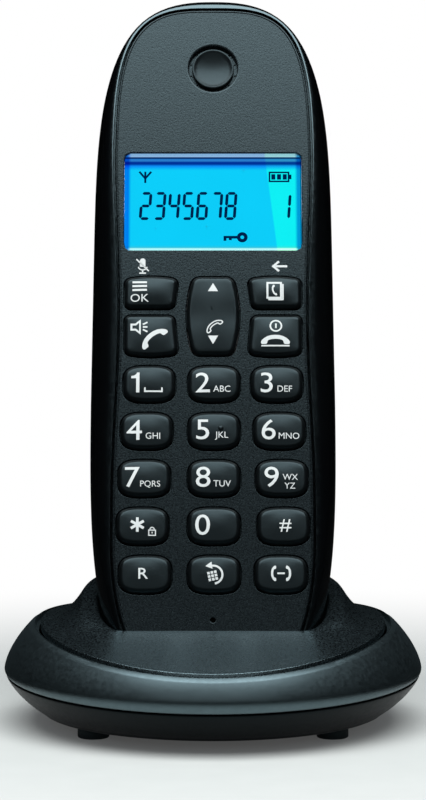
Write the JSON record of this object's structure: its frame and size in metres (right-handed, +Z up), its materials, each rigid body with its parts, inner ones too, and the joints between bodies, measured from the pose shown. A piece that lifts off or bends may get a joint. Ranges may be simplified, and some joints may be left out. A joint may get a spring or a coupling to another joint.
{
  "type": "cordless phone with base",
  "caption": "Slim upright handset with a lit window, keypad and battery door, standing in the pocket of a round charging base on rubber feet.",
  "frame": {"origin": "on the table under the middle of the whole object", "axes": "+Z up, the keys face -Y, +X on the right of someone who faces the keys"},
  "size_m": [0.086, 0.09, 0.1494],
  "materials": {
    "textured_cover": "fine spark-eroded grain",
    "gloss_cover": "polished",
    "satin_cover": "smooth satin",
    "window": "clear",
    "light_guide": "diffusing",
    "inner_moulding": "moulded",
    "inner_moulding_dark": "moulded",
    "silicone": "matt",
    "silicone_dark": "matt",
    "circuit_board": "solder mask",
    "disc": "satin dish",
    "speaker_can": "stamped",
    "foam": "foam",
    "cell_sleeve": "shrink sleeve",
    "spring_steel": "plated",
    "contact_metal": "gold flash",
    "socket_moulding": "moulded",
    "keys": "satin, printed legends",
    "button": "satin",
    "rubber": "matt",
    "display": "lit liquid crystal"
  },
  "bodies": {
    "base": {"base_top_cover": "textured_cover", "base_band": "satin_cover", "base_bottom_cover": "satin_cover", "base_board": "circuit_board", "base_contacts": "contact_metal", "line_socket": "socket_moulding", "power_socket": "socket_moulding", "paging_switch": "inner_moulding_dark", "base_feet": "rubber", "base_screws": "spring_steel"},
    "handset": {"front_cover": "textured_cover", "rear_cover": "gloss_cover", "window": "window", "display_glass": "display", "display_backlight": "light_guide", "display_frame": "inner_moulding", "keypad_mat": "silicone", "main_board": "circuit_board", "earpiece_disc": "disc", "earpiece_speaker": "speaker_can", "speaker_gasket": "foam", "loudspeaker": "speaker_can", "microphone": "speaker_can", "microphone_boot": "silicone_dark", "battery_cells": "cell_sleeve", "battery_springs": "spring_steel", "battery_plates": "spring_steel", "handset_contacts": "contact_metal", "handset_screws": "spring_steel"},
    "battery_door": {"battery_door": "satin_cover"},
    "paging_button": {"paging_button": "button"},
    "key_menu": {"key_menu": "keys"},
    "key_phone_book": {"key_phone_book": "keys"},
    "key_talk": {"key_talk": "keys"},
    "key_end": {"key_end": "keys"},
    "key_rocker": {"key_rocker": "keys"},
    "key_1": {"key_1": "keys"},
    "key_2": {"key_2": "keys"},
    "key_3": {"key_3": "keys"},
    "key_4": {"key_4": "keys"},
    "key_5": {"key_5": "keys"},
    "key_6": {"key_6": "keys"},
    "key_7": {"key_7": "keys"},
    "key_8": {"key_8": "keys"},
    "key_9": {"key_9": "keys"},
    "key_star": {"key_star": "keys"},
    "key_0": {"key_0": "keys"},
    "key_hash": {"key_hash": "keys"},
    "key_recall": {"key_recall": "keys"},
    "key_redial": {"key_redial": "keys"},
    "key_intercom": {"key_intercom": "keys"}
  },
  "joints": [
    {"name": "handset_lift", "type": "slide", "parent": "base", "child": "handset", "axis": [0, 0.342, 0.9397], "range_m": [0, 0.08]},
    {"name": "battery_door_pull", "type": "slide", "parent": "handset", "child": "battery_door", "axis": [0, 0.9397, -0.342], "range_m": [0, 0.02]},
    {"name": "paging_press", "type": "slide", "parent": "base", "child": "paging_button", "axis": [0, -1, 0], "range_m": [0, 0.0008], "stiffness_N_per_m": 1500},
    {"name": "key_menu_press", "type": "slide", "parent": "handset", "child": "key_menu", "axis": [0, 0.9397, -0.342], "range_m": [0, 0.0006], "stiffness_N_per_m": 1500},
    {"name": "key_phone_book_press", "type": "slide", "parent": "handset", "child": "key_phone_book", "axis": [0, 0.9397, -0.342], "range_m": [0, 0.0006], "stiffness_N_per_m": 1500},
    {"name": "key_talk_press", "type": "slide", "parent": "handset", "child": "key_talk", "axis": [0, 0.9397, -0.342], "range_m": [0, 0.0006], "stiffness_N_per_m": 1500},
    {"name": "key_end_press", "type": "slide", "parent": "handset", "child": "key_end", "axis": [0, 0.9397, -0.342], "range_m": [0, 0.0006], "stiffness_N_per_m": 1500},
    {"name": "key_rocker_tilt", "type": "hinge", "parent": "handset", "child": "key_rocker", "pos_m": [0, 0.00447, 0.08287], "axis": [1, 0, 0], "range_deg": [-4, 4], "stiffness_Nm_per_rad": 0.08},
    {"name": "key_1_press", "type": "slide", "parent": "handset", "child": "key_1", "axis": [0, 0.9397, -0.342], "range_m": [0, 0.0006], "stiffness_N_per_m": 1500},
    {"name": "key_2_press", "type": "slide", "parent": "handset", "child": "key_2", "axis": [0, 0.9397, -0.342], "range_m": [0, 0.0006], "stiffness_N_per_m": 1500},
    {"name": "key_3_press", "type": "slide", "parent": "handset", "child": "key_3", "axis": [0, 0.9397, -0.342], "range_m": [0, 0.0006], "stiffness_N_per_m": 1500},
    {"name": "key_4_press", "type": "slide", "parent": "handset", "child": "key_4", "axis": [0, 0.9397, -0.342], "range_m": [0, 0.0006], "stiffness_N_per_m": 1500},
    {"name": "key_5_press", "type": "slide", "parent": "handset", "child": "key_5", "axis": [0, 0.9397, -0.342], "range_m": [0, 0.0006], "stiffness_N_per_m": 1500},
    {"name": "key_6_press", "type": "slide", "parent": "handset", "child": "key_6", "axis": [0, 0.9397, -0.342], "range_m": [0, 0.0006], "stiffness_N_per_m": 1500},
    {"name": "key_7_press", "type": "slide", "parent": "handset", "child": "key_7", "axis": [0, 0.9397, -0.342], "range_m": [0, 0.0006], "stiffness_N_per_m": 1500},
    {"name": "key_8_press", "type": "slide", "parent": "handset", "child": "key_8", "axis": [0, 0.9397, -0.342], "range_m": [0, 0.0006], "stiffness_N_per_m": 1500},
    {"name": "key_9_press", "type": "slide", "parent": "handset", "child": "key_9", "axis": [0, 0.9397, -0.342], "range_m": [0, 0.0006], "stiffness_N_per_m": 1500},
    {"name": "key_star_press", "type": "slide", "parent": "handset", "child": "key_star", "axis": [0, 0.9397, -0.342], "range_m": [0, 0.0006], "stiffness_N_per_m": 1500},
    {"name": "key_0_press", "type": "slide", "parent": "handset", "child": "key_0", "axis": [0, 0.9397, -0.342], "range_m": [0, 0.0006], "stiffness_N_per_m": 1500},
    {"name": "key_hash_press", "type": "slide", "parent": "handset", "child": "key_hash", "axis": [0, 0.9397, -0.342], "range_m": [0, 0.0006], "stiffness_N_per_m": 1500},
    {"name": "key_recall_press", "type": "slide", "parent": "handset", "child": "key_recall", "axis": [0, 0.9397, -0.342], "range_m": [0, 0.0006], "stiffness_N_per_m": 1500},
    {"name": "key_redial_press", "type": "slide", "parent": "handset", "child": "key_redial", "axis": [0, 0.9397, -0.342], "range_m": [0, 0.0006], "stiffness_N_per_m": 1500},
    {"name": "key_intercom_press", "type": "slide", "parent": "handset", "child": "key_intercom", "axis": [0, 0.9397, -0.342], "range_m": [0, 0.0006], "stiffness_N_per_m": 1500}
  ]
}
